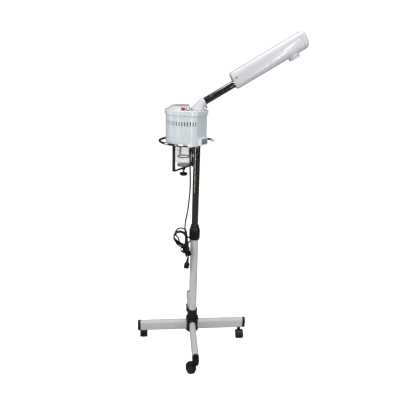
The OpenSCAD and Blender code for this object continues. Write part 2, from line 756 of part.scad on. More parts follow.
// a Catmull-Rom point between p1 and p2
function curve(p0, p1, p2, p3, t) = 0.5 * (2 * p1 + (p2 - p0) * t
    + (2 * p0 - 5 * p1 + 4 * p2 - p3) * t * t + (3 * p1 - p0 - 3 * p2 + p3) * t * t * t);
function at(route, k) = route[max(0, min(len(route) - 1, k))];
function smooth(route, steps) = [for (k = [0:len(route) - 2], s = [0:steps - 1])
    curve(at(route, k - 1), route[k], route[k + 1], at(route, k + 2), s / steps),
    route[len(route) - 1]];
function heading(path, k) = unit(at(path, k + 1) - at(path, k - 1));
function ring_of(path, k, r, sides) = let (d = heading(path, k), u = unit(cross([0, 1, 0], d)),
    v = cross(d, u)) [for (s = [0:sides - 1])
    path[k] + r * (cos(360 * s / sides) * u + sin(360 * s / sides) * v)];

// a round cord swept along a path, closed at both ends
module swept(path, r, sides) {
    last = len(path) - 1;
    points = [for (k = [0:last]) each ring_of(path, k, r, sides)];
    walls = [for (k = [0:last - 1], s = [0:sides - 1]) let (n = (s + 1) % sides)
        [k * sides + s, k * sides + n, (k + 1) * sides + n, (k + 1) * sides + s]];
    first_end = [[for (s = [sides - 1:-1:0]) s]];
    last_end = [[for (s = [0:sides - 1]) last * sides + s]];
    polyhedron(points = points, faces = concat(first_end, walls, last_end), convexity = 8);
}

module power_cord() color("#101011") placed()
    swept(smooth(cord_route, ring_steps), cord_d / 2, cord_sides);

// the outer shape of the looped lead, hanging from its own first loop
module cord_hank() color("#101011") placed() translate([0, hank_y + hank_t / 2, 0])
    rotate([90, 0, 0]) linear_extrude(hank_t) hull() {
        translate([-58, 610]) circle(r = 28, $fn = 24);
        translate([-65, 580]) circle(r = 28, $fn = 24);
        translate([-31, 483]) circle(r = 11, $fn = 24);
    }

module at_plug() placed() translate(plug_top) rotate([0, plug_tilt, 0]) children();

module plug() color("#131314") at_plug() difference() {
    rotate([180, 0, 0]) {
        cylinder(h = 22, r1 = cord_d / 2 + 0.5, r2 = 6.5);
        translate([0, 0, 22]) cylinder(h = 14, r1 = 8, r2 = 12.5);
        translate([0, 0, 36]) cylinder(h = 18, r = 12.5);
    }
    for (s = [-1, 1]) translate([-6.35 * s - 0.75, -3.2, -60]) cube([1.5, 6.4, 16]);
}

module plug_pins() color("#c8b98a") at_plug() for (s = [-1, 1])
    translate([-6.35 * s - 0.75, -3.2, -71]) cube([1.5, 6.4, 27]);

hub();
legs();
leg_caps();
leg_bolts();
lower_column();
column_bush();
height_collar();
caster_hood_1();
caster_hood_2();
caster_hood_3();
caster_hood_4();
caster_stems();
caster_axle_1();
caster_axle_2();
caster_axle_3();
caster_axle_4();
caster_wheels_1();
caster_wheels_2();
caster_wheels_3();
caster_wheels_4();
upper_column();
column_socket();
chassis_plate();
body_shell();
lid();
control_panel();
switch_bodies();
power_rocker();
ozone_rocker();
ring_handle();
handle_tips();
rear_box();
boiler_head();
jar_gasket();
jar();
heater();
level_probe();
bracket_hanger();
bracket_hinge();
jar_bracket();
clamp_screw();
clamp_knob();
pressure_plate();
plate_pad();
steam_pipe();
transformer();
cord_gland();
elbow();
elbow_bush();
elbow_lock_screw();
arm_tube();
arm_housing();
arm_end_cap();
steam_duct();
ozone_lamp();
nozzle();
power_cord();
cord_hank();
plug();
plug_pins();
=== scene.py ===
"""Looks for a facial steamer on a castored stand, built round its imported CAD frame. Metres throughout."""

import json
import math

import bmesh
import bpy
import numpy as np
from mathutils import Matrix, Vector


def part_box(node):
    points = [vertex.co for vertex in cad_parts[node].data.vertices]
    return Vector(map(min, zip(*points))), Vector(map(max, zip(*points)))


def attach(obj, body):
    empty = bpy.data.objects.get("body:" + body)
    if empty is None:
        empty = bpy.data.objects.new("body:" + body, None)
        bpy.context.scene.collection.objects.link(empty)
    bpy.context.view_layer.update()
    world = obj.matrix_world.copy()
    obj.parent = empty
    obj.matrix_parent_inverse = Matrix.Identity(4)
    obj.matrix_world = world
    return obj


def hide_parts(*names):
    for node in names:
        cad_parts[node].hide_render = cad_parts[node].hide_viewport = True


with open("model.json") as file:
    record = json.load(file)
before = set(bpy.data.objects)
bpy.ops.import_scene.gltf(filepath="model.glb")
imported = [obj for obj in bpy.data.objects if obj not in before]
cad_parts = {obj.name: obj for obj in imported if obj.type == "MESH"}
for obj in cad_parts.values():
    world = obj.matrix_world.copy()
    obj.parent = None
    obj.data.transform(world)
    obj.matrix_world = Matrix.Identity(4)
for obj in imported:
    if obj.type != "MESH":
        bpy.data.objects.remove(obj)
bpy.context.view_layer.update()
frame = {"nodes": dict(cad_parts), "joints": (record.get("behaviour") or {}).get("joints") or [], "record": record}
JOINTS = {joint["name"]: joint for joint in frame["joints"]}
MM = 0.001
SMALLEST = 1e-5
HEAD_OFFSET = 56
BEND_BACK = 20


# ---- places, all worked out from the frame ----

def middle(node):
    """The centre of a CAD node's box."""
    low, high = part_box(node)
    return (Vector(low) + Vector(high)) / 2


def box_low(node):
    return Vector(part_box(node)[0])


def box_high(node):
    return Vector(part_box(node)[1])


def joint_axis(name):
    return Vector(JOINTS[name]["axis"])


def joint_place(name):
    return Vector(JOINTS[name]["pos_m"])


column = middle("upper_column")
AXIS = Vector((column.x, column.y, 0))
back_axis = joint_axis("bracket_swing")
head_yaw = math.atan2(back_axis.y, back_axis.x)
HEAD = Matrix.Translation(AXIS) @ Matrix.Rotation(head_yaw, 4, "Z")
BODY = HEAD @ Matrix.Translation((-HEAD_OFFSET * MM, 0, 0))
lid_top = box_high("lid").z
lid_low = box_low("lid").z
body_low = box_low("body_shell").z
jar_middle = middle("jar")
arm_way = joint_axis("arm_roll")
arm_tilt = math.asin(arm_way.z)
BEND = joint_place("arm_roll") - BEND_BACK * MM * arm_way
ARM = Matrix.Translation(BEND) @ Matrix.Rotation(-arm_tilt, 4, "Y")
PIVOT = Vector((BEND.x, BEND.y, 0))


# ---- mesh helpers ----

def to_mesh(name, verts, faces):
    mesh = bpy.data.meshes.new(name)
    mesh.from_pydata([tuple(v) for v in verts], [], faces)
    mesh.validate()
    made = bmesh.new()
    made.from_mesh(mesh)
    bmesh.ops.recalc_face_normals(made, faces=made.faces)
    made.to_mesh(mesh)
    made.free()
    for face in mesh.polygons:
        face.use_smooth = True
    return mesh


def loft(name, rings, first="open", last="open"):
    """Joins rings of equal length. An end is open, or capped."""
    size = len(rings[0])
    verts = [point for ring in rings for point in ring]
    faces = []
    for k in range(len(rings) - 1):
        for i in range(size):
            j = (i + 1) % size
            faces.append((k * size + i, k * size + j, (k + 1) * size + j, (k + 1) * size + i))
    if first == "cap":
        faces.append(tuple(range(size - 1, -1, -1)))
    if last == "cap":
        base = (len(rings) - 1) * size
        faces.append(tuple(base + i for i in range(size)))
    return to_mesh(name, verts, faces)


def round_steps(steps):
    """The angles of an even walk round a circle."""
    return [2 * math.pi * k / steps for k in range(steps)]


def lathe(name, profile, place, steps=64):
    """Turns (radius, height) points about the Z axis of place. Zero radius closes an end."""
    rings = []
    for radius, height in profile:
        radius = max(radius, SMALLEST)
        rings.append([place @ Vector((radius * math.cos(a), radius * math.sin(a), height))
                      for a in round_steps(steps)])
    return loft(name, rings)


def sharpen(mesh, degrees=35):
    """Keeps edges steeper than this crisp in smooth shading."""
    made = bmesh.new()
    made.from_mesh(mesh)
    for edge in made.edges:
        if len(edge.link_faces) == 2:
            edge.smooth = edge.calc_face_angle(0) < math.radians(degrees)
    made.to_mesh(mesh)
    made.free()
    return mesh


def tube_mesh(name, path, radius, sides):
    """A capped round tube along a path, with its rings carried along so that they never twist."""
    path = [Vector(p) for p in path]
    rings = []
    side = None
    for k, point in enumerate(path):
        way = (path[min(k + 1, len(path) - 1)] - path[max(k - 1, 0)]).normalized()
        if side is None:
            side = way.orthogonal().normalized()
        side = (side - way * side.dot(way)).normalized()
        across = way.cross(side)
        rings.append([point + radius * (math.cos(a) * side + math.sin(a) * across)
                      for a in round_steps(sides)])
    return loft(name, rings, "cap", "cap")


def block(name, size, place, round_by):
    """A box with rounded edges, centred on place."""
    made = bmesh.new()
    bmesh.ops.create_cube(made, size=1)
    bmesh.ops.scale(made, vec=size, verts=made.verts)
    bmesh.ops.bevel(made, geom=made.edges[:], offset=round_by, segments=3, affect="EDGES", profile=0.5)
    bmesh.ops.transform(made, matrix=place, verts=made.verts)
    mesh = bpy.data.meshes.new(name)
    made.to_mesh(mesh)
    made.free()
    for face in mesh.polygons:
        face.use_smooth = True
    return sharpen(mesh, 50)


# ---- materials ----

def new_material(name):
    material = bpy.data.materials.new(name)
    material.use_nodes = True
    tree = material.node_tree
    tree.nodes.clear()
    shader = tree.nodes.new("ShaderNodeBsdfPrincipled")
    output = tree.nodes.new("ShaderNodeOutputMaterial")
    tree.links.new(shader.outputs["BSDF"], output.inputs["Surface"])
    coords = tree.nodes.new("ShaderNodeTexCoord")
    return material, tree, shader, coords.outputs["Object"]


def noise(tree, coords, scale, detail=4.0, stretch=(1, 1, 1)):
    mapping = tree.nodes.new("ShaderNodeMapping")
    mapping.inputs["Scale"].default_value = stretch
    tree.links.new(coords, mapping.inputs["Vector"])
    texture = tree.nodes.new("ShaderNodeTexNoise")
    texture.inputs["Scale"].default_value = scale
    texture.inputs["Detail"].default_value = detail
    tree.links.new(mapping.outputs["Vector"], texture.inputs["Vector"])
    return texture.outputs["Fac"]


def spread(tree, value, low, high, at_low=0.3, at_high=0.7):
    """Maps a noise value to a range of numbers."""
    node = tree.nodes.new("ShaderNodeMapRange")
    node.inputs["From Min"].default_value = at_low
    node.inputs["From Max"].default_value = at_high
    node.inputs["To Min"].default_value = low
    node.inputs["To Max"].default_value = high
    tree.links.new(value, node.inputs["Value"])
    return node.outputs["Result"]


def tint(tree, value, dark, light, at_low=0.3, at_high=0.7):
    """Maps a noise value to a range of colours."""
    ramp = tree.nodes.new("ShaderNodeValToRGB")
    ramp.color_ramp.elements[0].position = at_low
    ramp.color_ramp.elements[0].color = (*dark, 1)
    ramp.color_ramp.elements[1].position = at_high
    ramp.color_ramp.elements[1].color = (*light, 1)
    tree.links.new(value, ramp.inputs["Fac"])
    return ramp.outputs["Color"]


def bump(tree, shader, value, strength, depth):
    node = tree.nodes.new("ShaderNodeBump")
    node.inputs["Strength"].default_value = strength
    node.inputs["Distance"].default_value = depth
    tree.links.new(value, node.inputs["Height"])
    tree.links.new(node.outputs["Normal"], shader.inputs["Normal"])


def shade(colour, factor):
    return tuple(min(1.0, c * factor) for c in colour)


def moulded(name, colour, rough, grain=900, grain_depth=0.00006, mottle=0.04, coat=0.0):
    """Moulded plastic: a faint mould texture, slow colour drift and handling marks in its gloss."""
    material, tree, shader, coords = new_material(name)
    drift = noise(tree, coords, 9, 3)
    tree.links.new(tint(tree, drift, shade(colour, 1 - mottle), shade(colour, 1 + mottle)),
                   shader.inputs["Base Color"])
    marks = noise(tree, coords, 60, 6)
    tree.links.new(spread(tree, marks, rough * 0.82, rough * 1.2), shader.inputs["Roughness"])
    bump(tree, shader, noise(tree, coords, grain, 2), 0.25, grain_depth)
    shader.inputs["IOR"].default_value = 1.48
    shader.inputs["Coat Weight"].default_value = coat
    shader.inputs["Coat Roughness"].default_value = 0.08
    return material


def painted(name, colour, rough):
    """Powder coat: orange peel, slight dust in the tone."""
    material, tree, shader, coords = new_material(name)
    dust = noise(tree, coords, 14, 5, (1, 1, 0.4))
    tree.links.new(tint(tree, dust, shade(colour, 0.95), shade(colour, 1.03)), shader.inputs["Base Color"])
    marks = noise(tree, coords, 120, 5)
    tree.links.new(spread(tree, marks, rough * 0.85, rough * 1.2), shader.inputs["Roughness"])
    bump(tree, shader, noise(tree, coords, 420, 3), 0.3, 0.00012)
    shader.inputs["IOR"].default_value = 1.5
    return material


def metal(name, colour, rough, scratch=(1, 1, 1), scratch_scale=300, depth=0.00003, drift=0.06):
    """Metal with fine marks along the way it was drawn or turned."""
    material, tree, shader, coords = new_material(name)
    shader.inputs["Metallic"].default_value = 1.0
    clouds = noise(tree, coords, 12, 4)
    tree.links.new(tint(tree, clouds, shade(colour, 1 - drift), shade(colour, 1 + drift)),
                   shader.inputs["Base Color"])
    lines = noise(tree, coords, scratch_scale, 5, scratch)
    tree.links.new(spread(tree, lines, rough * 0.7, rough * 1.5), shader.inputs["Roughness"])
    bump(tree, shader, lines, 0.2, depth)
    return material


def rubber(name, colour, rough=0.6):
    material, tree, shader, coords = new_material(name)
    dust = noise(tree, coords, 40, 6)
    tree.links.new(tint(tree, dust, shade(colour, 0.8), shade(colour, 1.5), 0.4, 0.75),
                   shader.inputs["Base Color"])
    tree.links.new(spread(tree, dust, rough * 0.85, min(1, rough * 1.2)), shader.inputs["Roughness"])
    bump(tree, shader, noise(tree, coords, 1300, 3), 0.4, 0.00012)
    return material


def clear_glass(name):
    """Thin clear glass: nearly open, with a faint haze and faint ripples in its shine."""
    material, tree, shader, coords = new_material(name)
    haze = noise(tree, coords, 22, 5)
    tree.links.new(tint(tree, haze, (0.62, 0.68, 0.70), (0.86, 0.90, 0.91)), shader.inputs["Base Color"])
    tree.links.new(spread(tree, haze, 0.03, 0.12), shader.inputs["Roughness"])
    tree.links.new(spread(tree, haze, 0.15, 0.24), shader.inputs["Alpha"])
    bump(tree, shader, noise(tree, coords, 16, 2), 0.15, 0.0005)
    shader.inputs["IOR"].default_value = 1.5
    shader.inputs["Coat Weight"].default_value = 0.6
    shader.inputs["Coat Roughness"].default_value = 0.05
    return material


MATERIALS = {
    "black_plastic": moulded("black_moulding", (0.011, 0.011, 0.012), 0.42, grain=1500, grain_depth=0.0001),
    "hood_plastic": moulded("black_hood_moulding", (0.012, 0.012, 0.013), 0.35, grain=1800),
    "leg_paint": painted("leg_powder_coat", (0.53, 0.53, 0.525), 0.38),
    "column_paint": painted("column_powder_coat", (0.57, 0.57, 0.57), 0.34),
    "zinc_steel": metal("zinc_plate", (0.55, 0.56, 0.58), 0.32, scratch_scale=200),
    "tread": rubber("castor_tread", (0.022, 0.022, 0.023), 0.55),
    "acetal": moulded("acetal", (0.72, 0.71, 0.67), 0.45, grain=700),
    "chrome": metal("polished_chrome", (0.62, 0.61, 0.60), 0.09, (1, 1, 0.02), 240, 0.0000015, 0.03),
    "cast_alloy": metal("cast_alloy", (0.50, 0.51, 0.52), 0.42, (1, 1, 1), 500, 0.0002),
    "plated_sheet": metal("plated_sheet", (0.50, 0.50, 0.50), 0.30, (1, 0.1, 1), 500),
    "body_plastic": moulded("body_moulding", (0.625, 0.680, 0.700), 0.20, grain=1100, mottle=0.015,
                            coat=0.35),
    "cover_plastic": moulded("cover_moulding", (0.600, 0.598, 0.625), 0.22, grain=1100, mottle=0.015,
                             coat=0.35),
    "red_rocker": moulded("red_rocker", (0.60, 0.014, 0.010), 0.22, mottle=0.05, coat=0.4),
    "white_plastic": moulded("white_moulding", (0.78, 0.80, 0.82), 0.28, mottle=0.015),
    "cream_plastic": moulded("cream_moulding", (0.74, 0.68, 0.54), 0.30, mottle=0.03, coat=0.2),
    "clear_glass": clear_glass("jar_glass"),
    "seal_rubber": rubber("seal_rubber", (0.50, 0.49, 0.45), 0.7),
    "element_sheath": metal("heated_sheath", (0.10, 0.085, 0.075), 0.5, (1, 1, 1), 160, 0.0002, 0.35),
    "probe_sleeve": moulded("probe_sleeve", (0.52, 0.42, 0.28), 0.4, mottle=0.12),
    "bracket_steel": metal("bracket_steel", (0.21, 0.19, 0.17), 0.26, (1, 1, 0.05), 500),
    "brass": metal("turned_brass", (0.68, 0.46, 0.19), 0.24, (1, 1, 30), 60),
    "transformer_steel": painted("transformer_enamel", (0.05, 0.05, 0.055), 0.5),
    "silicone": rubber("silicone", (0.60, 0.57, 0.50), 0.5),
    "lamp_glass": moulded("lamp_glass", (0.50, 0.58, 0.78), 0.12, coat=0.5),
    "cord_rubber": rubber("cord_jacket", (0.010, 0.010, 0.011), 0.45),
}
# The plate's blue-grey colour is painted shade, standing in for the shaded face of the rear box.
SHADE_BLUE_GREY = moulded("painted_shade_plate_blue", (0.20, 0.25, 0.33), 0.35, grain=500, mottle=0.08)
RED_INK = moulded("level_mark_ink", (0.62, 0.03, 0.03), 0.5, grain=300, mottle=0.1)

slots = {part["node"]: part["material_slot"] for part in frame["record"]["subparts"]}
for node, thing in frame["nodes"].items():
    thing.data.materials.clear()
    thing.data.materials.append(MATERIALS[slots[node]])


def piece(name, mesh, body, slot, material=None):
    """Puts a mesh in the scene, on its body, with its slot's material unless another is given."""
    thing = bpy.data.objects.new(name, mesh)
    bpy.context.scene.collection.objects.link(thing)
    mesh.materials.append(material or MATERIALS[slot])
    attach(thing, body)
    return thing


# ---- camera ----

SENSOR = 36
LENS = 32.94
CAMERA_TURN = 6.585
CAMERA_DOWN = 19.55
CAMERA_ROLL = 2.32
CAMERA_PLACE = (-0.1288, -1.6163, 1.2783)


def aim_camera():
    """The photograph's angle: turned a little, tilted down, and not quite level."""
    turn, down, roll = math.radians(CAMERA_TURN), math.radians(CAMERA_DOWN), math.radians(CAMERA_ROLL)
    forward = Vector((math.sin(turn) * math.cos(down), math.cos(turn) * math.cos(down), -math.sin(down)))
    level = Vector((math.cos(turn), -math.sin(turn), 0))
    above = level.cross(forward)
    right = math.cos(roll) * level + math.sin(roll) * above
    up = right.cross(forward)
    data = bpy.data.cameras.new("camera")
    data.sensor_width = SENSOR
    data.lens = LENS
    camera = bpy.data.objects.new("camera", data)
    turned = Matrix((right, up, -forward)).transposed().to_4x4()
    camera.matrix_world = Matrix.Translation(AXIS + Vector(CAMERA_PLACE)) @ turned
    bpy.context.scene.collection.objects.link(camera)
    bpy.context.scene.camera = camera


aim_camera()


# ---- cord: a straight drop, a hank of four turns, and the plug ----

CORD_D = 7 * MM
HANK_Y = -40 * MM
DROP = [(-0.0292, -0.0138, 0.954), (-0.0292, -0.0138, 0.935), (-0.029, -0.0142, 0.905),
        (-0.028, -0.0158, 0.876), (-0.0268, -0.0182, 0.848), (-0.0264, -0.0208, 0.820),
        (-0.0272, -0.0234, 0.792), (-0.029, -0.026, 0.764), (-0.0316, -0.0286, 0.737),
        (-0.0348, -0.0314, 0.710), (-0.0386, -0.0344, 0.684), (-0.0434, -0.0380, 0.659),
        (-0.0466, -0.0430, 0.634), (-0.0460, -0.0480, 0.609), (-0.0400, -0.0520, 0.583)]
PLUG_TOP = Vector((-0.030, HANK_Y, 0.4725))
NECK = [(-0.0325, -0.0520, 0.507), (-0.0298, -0.0428, 0.490), (-0.0291, -0.0401, 0.4805), PLUG_TOP]
TURNS = 4.22
TURN_STEPS = 20
FIRST_STEP = 5
FOLD = 24 * MM
TURN_PITCH = 7.7 * MM
FIRST_TOP, FIRST_LOW = Vector((-0.059, HANK_Y, 0.614)), Vector((-0.046, HANK_Y, 0.556))
BUNDLE_TOP, BUNDLE_LOW = Vector((-0.071, HANK_Y, 0.582)), Vector((-0.036, HANK_Y, 0.506))
STEP = 4 * MM
STILL = 0.23
TIGHTEST = 27 * MM
KEEP_OFF = 31 * MM
KEEP_OFF_UNDER = 0.64
CLEAR = 1.06
TIE_LOW, TIE_HIGH = 0.510, 0.520
PLUG_TILT = 8
PLUG_BLUNT = 0.75


def ease(value):
    value = min(1.0, max(0.0, value))
    return value * value * (3 - 2 * value)


def hank_turns():
    """The hank: first one tall loop, then a bundle whose lower folds turn to face the column."""
    points = []
    toward = Vector((0, -1, 0))
    for k in range(FIRST_STEP, int(TURNS * TURN_STEPS) + 1):
        done = k / TURN_STEPS
        late = ease((done - 0.55) / 0.6)
        top = FIRST_TOP.lerp(BUNDLE_TOP, late)
        low = FIRST_LOW.lerp(BUNDLE_LOW, late)
        down = (low - top).normalized()
        across = -toward.cross(down).normalized()
        across = across if across.x > 0 else -across
        run = (low - top).length
        gone = (done % 1.0) * (2 * run + 2 * math.pi * FOLD)

        def side_way(height):
            turned = math.radians(90 * (1 - late * (1 - ease(height))))
            return math.sin(turned) * across + math.cos(turned) * toward

        if gone < run:
            way = side_way(1 - gone / run)
            point = top.lerp(low, gone / run) + FOLD * way
        elif gone < run + math.pi * FOLD:
            angle = (gone - run) / FOLD
            way = side_way(0)
            point = low + FOLD * (math.cos(angle) * way + math.sin(angle) * down)
        elif gone < 2 * run + math.pi * FOLD:
            height = (gone - run - math.pi * FOLD) / run
            way = side_way(height)
            point = low.lerp(top, height) - FOLD * way
        else:
            angle = (gone - 2 * run - math.pi * FOLD) / FOLD
            way = side_way(1)
            point = top - FOLD * (math.cos(angle) * way + math.sin(angle) * down)
        points.append(point + (done - TURNS / 2) * TURN_PITCH * down.cross(way))
    return points


def smooth_path(route, spacing):
    """A Catmull-Rom curve through the route, cut into even steps."""
    route = np.array([tuple(p) for p in route])
    padded = np.vstack([route[0], route, route[-1]])
    fine = []
    for k in range(len(route) - 1):
        p0, p1, p2, p3 = padded[k:k + 4]
        for t in np.arange(0, 1, 0.2):
            fine.append(0.5 * (2 * p1 + (p2 - p0) * t + (2 * p0 - 5 * p1 + 4 * p2 - p3) * t ** 2
                               + (3 * p1 - p0 - 3 * p2 + p3) * t ** 3))
    fine = np.array(fine + [route[-1]])
    far = np.concatenate([[0], np.cumsum(np.linalg.norm(np.diff(fine, axis=0), axis=1))])
    count = int(round(far[-1] / spacing))
    even = np.linspace(0, far[-1], count + 1)
    return np.array([np.interp(even, far, fine[:, i]) for i in range(3)]).T


def settle(path, held, rounds=600):
    """Lets a cord relax: it keeps its length, resists tight bends, and stays off itself and the column."""
    path = path.copy()
    step = np.linalg.norm(np.diff(path, axis=0), axis=1).mean()
    index = np.arange(len(path))
    far_along = np.abs(index[:, None] - index[None, :]) * step > 2.6 * CORD_D
    pinned = path[held].copy()
    for _ in range(rounds):
        for reach in (1, 2, 4):
            sag = (path[:-2 * reach] + path[2 * reach:]) / 2 - path[reach:-reach]
            size = np.linalg.norm(sag, axis=1, keepdims=True) + 1e-12
            most = (reach * step) ** 2 / (2 * TIGHTEST)
            over = np.clip((size - most) / size, 0, 1) * sag
            path[reach:-reach] += 0.4 * over
            path[:-2 * reach] -= 0.2 * over
            path[2 * reach:] -= 0.2 * over
        gap = path[:, None, :] - path[None, :, :]
        apart = np.linalg.norm(gap, axis=2) + 1e-12
        push = np.where(far_along & (apart < CORD_D * CLEAR), (CORD_D * CLEAR - apart) / apart, 0)
        path += 0.25 * (gap * push[:, :, None]).sum(axis=1)
        off_axis = np.hypot(path[:, 0], path[:, 1])
        near = (off_axis < KEEP_OFF) & (path[:, 2] < KEEP_OFF_UNDER)
        path[near, :2] *= (KEEP_OFF / off_axis[near])[:, None]
        for _ in range(4):
            run = path[1:] - path[:-1]
            length = np.linalg.norm(run, axis=1, keepdims=True)
            change = 0.25 * run * (length - step) / length
            path[:-1] += change
            path[1:] -= change
        path[held] = pinned
    return path


def build_cord():
    """The lead as one tube: the top of the drop and the plug end stay put, and the rest settles."""
    path = smooth_path(DROP + hank_turns() + NECK, STEP)
    held = np.r_[0:int(STILL / STEP), len(path) - 2:len(path)]
    path = settle(path, held)
    path = smooth_path(path, STEP / 2) + np.array(AXIS)
    cord = piece("mains_lead", tube_mesh("mains_lead", path, CORD_D / 2, 12), "head", "cord_rubber")
    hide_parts("power_cord", "cord_hank")
    length = float(np.linalg.norm(np.diff(path, axis=0), axis=1).sum())
    return cord, path, length


cord, cord_path, cord_length = build_cord()


def build_tie():
    """A black wrap tie round the lower part of the hank."""
    near = cord_path[(cord_path[:, 2] > TIE_LOW) & (cord_path[:, 2] < TIE_HIGH)]
    centre = Vector(near.mean(axis=0))
    half_x = np.ptp(near[:, 0]) / 2 + CORD_D / 2 + 0.8 * MM
    half_y = np.ptp(near[:, 1]) / 2 + CORD_D / 2 + 0.8 * MM
    rings = []
    profile = [(1.0, -5), (1.0, 5), (1.0, 5), (0.94, 5), (0.94, -5), (0.94, -5)]
    for scale, height in profile:
        wide, deep = half_x * scale, half_y * scale
        rings.append([centre + Vector((wide * math.cos(a), deep * math.sin(a), height * MM))
                      for a in round_steps(40)])
    rings.append(rings[0])
    return piece("cord_tie", sharpen(loft("cord_tie", rings)), "head", "cord_rubber")


def build_plug():
    """Moulded two-pin plug: a ribbed tail, shoulders and a flat face."""
    tilt = Matrix.Rotation(math.radians(PLUG_TILT), 4, "Y")
    place = Matrix.Translation(AXIS + PLUG_TOP) @ tilt @ Matrix.Rotation(math.pi, 4, "X")
    rings = []
    stations = [(0, 4.0, 4.0)]
    for k in range(5):
        more_wide, more_deep = 0.45 * k, 0.4 * k
        stations += [(2 + 4 * k, 4.4 + more_wide, 4.4 + more_deep),
                     (3.6 + 4 * k, 5.0 + more_wide, 4.9 + more_deep),
                     (4.0 + 4 * k, 4.2 + more_wide, 4.2 + more_deep)]
    stations += [(23, 7.2, 6.6), (27, 9.4, 8.0), (32, 11.6, 9.4), (37, 12.4, 10.0), (50, 12.4, 10.0),
                 (52.6, 12.1, 9.7), (53.7, 11.2, 8.8), (54, 9.6, 7.2)]
    for height, wide, deep in stations:
        ring = []
        for a in round_steps(40):
            x = math.copysign(abs(math.cos(a)) ** PLUG_BLUNT, math.cos(a)) * wide
            y = math.copysign(abs(math.sin(a)) ** PLUG_BLUNT, math.sin(a)) * deep
            ring.append(place @ Vector((x * MM, y * MM, height * MM)))
        rings.append(ring)
    mesh = sharpen(loft("plug_moulding", rings, "cap", "cap"), 45)
    plug = piece("plug_moulding", mesh, "head", "cord_rubber")
    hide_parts("plug")
    return plug


tie = build_tie()
plug = build_plug()


# ---- head: lid and elbow, in millimetres ----

HEAD_RADIUS = 88
HEAD_FLAT = 78
HEAD_CORNER = 22
LID_OVER = 4.5
ELBOW_FLANGE = 30.5
ELBOW_SOCKET = 19.5
ELBOW_BORE = 15.15

def head_outline(inset, corner_points=10, round_points=90):
    """The head's plan in the body's frame: a round wall, a flat back and two rounded corners."""
    radius, flat, corner = ((size - inset) * MM for size in (HEAD_RADIUS, HEAD_FLAT, HEAD_CORNER))
    turn = math.acos((flat - corner) / (radius - corner))
    centre = Vector((flat - corner, (radius - corner) * math.sin(turn)))
    points = []
    for side in (1, -1):
        for k in range(corner_points + 1):
            share = k / corner_points if side > 0 else 1 - k / corner_points
            a = side * turn * share
            points.append((centre.x + corner * math.cos(a), side * centre.y + corner * math.sin(a)))
        if side > 0:
            for k in range(1, round_points):
                a = turn + (2 * math.pi - 2 * turn) * k / round_points
                points.append((radius * math.cos(a), radius * math.sin(a)))
    return points


def outline_ring(inset, height):
    return [BODY @ Vector((x, y, height)) for x, y in head_outline(inset)]


def build_lid():
    """The lid's skirt, its rounded rim and its flat top, which is filled inside the last ring."""
    skirt = [(0.15, 2), (0.15, 0), (-3.9, 0), (-4.35, 0.2), (-LID_OVER, 0.7), (-LID_OVER, 2)]
    rings = [outline_ring(inset, lid_low + rise * MM) for inset, rise in skirt]
    for k in range(9):
        a = math.radians(90 * k / 8)
        rings.append(outline_ring(-LID_OVER + LID_OVER * (1 - math.cos(a)),
                                  lid_top - LID_OVER * MM * (1 - math.sin(a))))
    rings += [outline_ring(inset, lid_top) for inset in (3, 8, 20, 21.5)]
    lid = piece("lid_moulding", loft("lid_moulding", rings), "head", "body_plastic")
    made = bmesh.new()
    made.from_mesh(lid.data)
    open_edges = [e for e in made.edges if e.is_boundary and e.verts[0].co.z > lid_top - 1e-4]
    bmesh.ops.triangle_fill(made, edges=open_edges, use_beauty=True)
    made.to_mesh(lid.data)
    made.free()
    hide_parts("lid")


def build_elbow():
    """A flange on the lid, a bulb over the pivot, and a socket along the arm."""
    steps = 56
    floor = lid_top + 0.5 * MM

    def level_ring(radius, rise):
        return [PIVOT + Vector((radius * MM * math.cos(a), radius * MM * math.sin(a), floor + rise * MM))
                for a in round_steps(steps)]

    def arm_ring(radius, along):
        return [ARM @ Vector((along * MM, radius * MM * math.sin(a), -radius * MM * math.cos(a)))
                for a in round_steps(steps)]

    flange = [(27, 0), (30, 0), (ELBOW_FLANGE, 0.6), (ELBOW_FLANGE, 2.6), (30.1, 3.4), (29.2, 3.8)]
    socket = [(ELBOW_SOCKET, 26), (ELBOW_SOCKET, 30), (ELBOW_SOCKET, 33), (19.3, 33.7), (18.8, 34),
              (15.6, 34), (ELBOW_BORE, 33.6), (ELBOW_BORE, 20)]
    rings = [level_ring(radius, rise) for radius, rise in flange]
    start = level_ring(28.4, 4.6)
    end = arm_ring(ELBOW_SOCKET, 22)
    for n in range(15):
        rings.append([start[k].lerp(end[k], n / 14) for k in range(steps)])
    rings += [arm_ring(radius, along) for radius, along in socket]
    elbow = piece("elbow_moulding", loft("elbow_moulding", rings), "elbow_head", "cover_plastic")
    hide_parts("elbow")


# ---- arm housing, in millimetres along and across the arm ----

HOUSE_START = 174
HOUSE_END = 516
HOUSE_SEAM = 490
HOUSE_UP = 47
HOUSE_DOWN = 26
HOUSE_DEPTH = 60
HOUSE_CORNER = 25
HOUSE_NEAR = 9
SCREW_ALONG = 190
SCREW_UP = 19
CORNER_STEPS = 12


def house_ring(along, inset):
    """The housing's rounded section at a distance along the arm."""
    radius = max(HOUSE_CORNER - inset, 1.5)
    half_w = HOUSE_DEPTH / 2 - inset
    half_h = (HOUSE_UP + HOUSE_DOWN) / 2 - inset
    radius = min(radius, half_w - 0.2, half_h - 0.2)
    mid = (HOUSE_UP - HOUSE_DOWN) / 2
    ring = []
    for quarter, (sx, sy) in enumerate(((1, 1), (-1, 1), (-1, -1), (1, -1))):
        for k in range(CORNER_STEPS + 1):
            a = math.radians(90 * quarter + 90 * k / CORNER_STEPS)
            y = sx * (half_w - radius) + radius * math.cos(a)
            t = mid + sy * (half_h - radius) + radius * math.sin(a)
            ring.append(ARM @ Vector((along * MM, y * MM, t * MM)))
    return ring


def round_hole_ring(along, radius):
    """A ring round the arm tube with as many points as a housing ring."""
    return [ARM @ Vector((along * MM, radius * MM * math.cos(a), radius * MM * math.sin(a)))
            for a in round_steps(4 * (CORNER_STEPS + 1))]


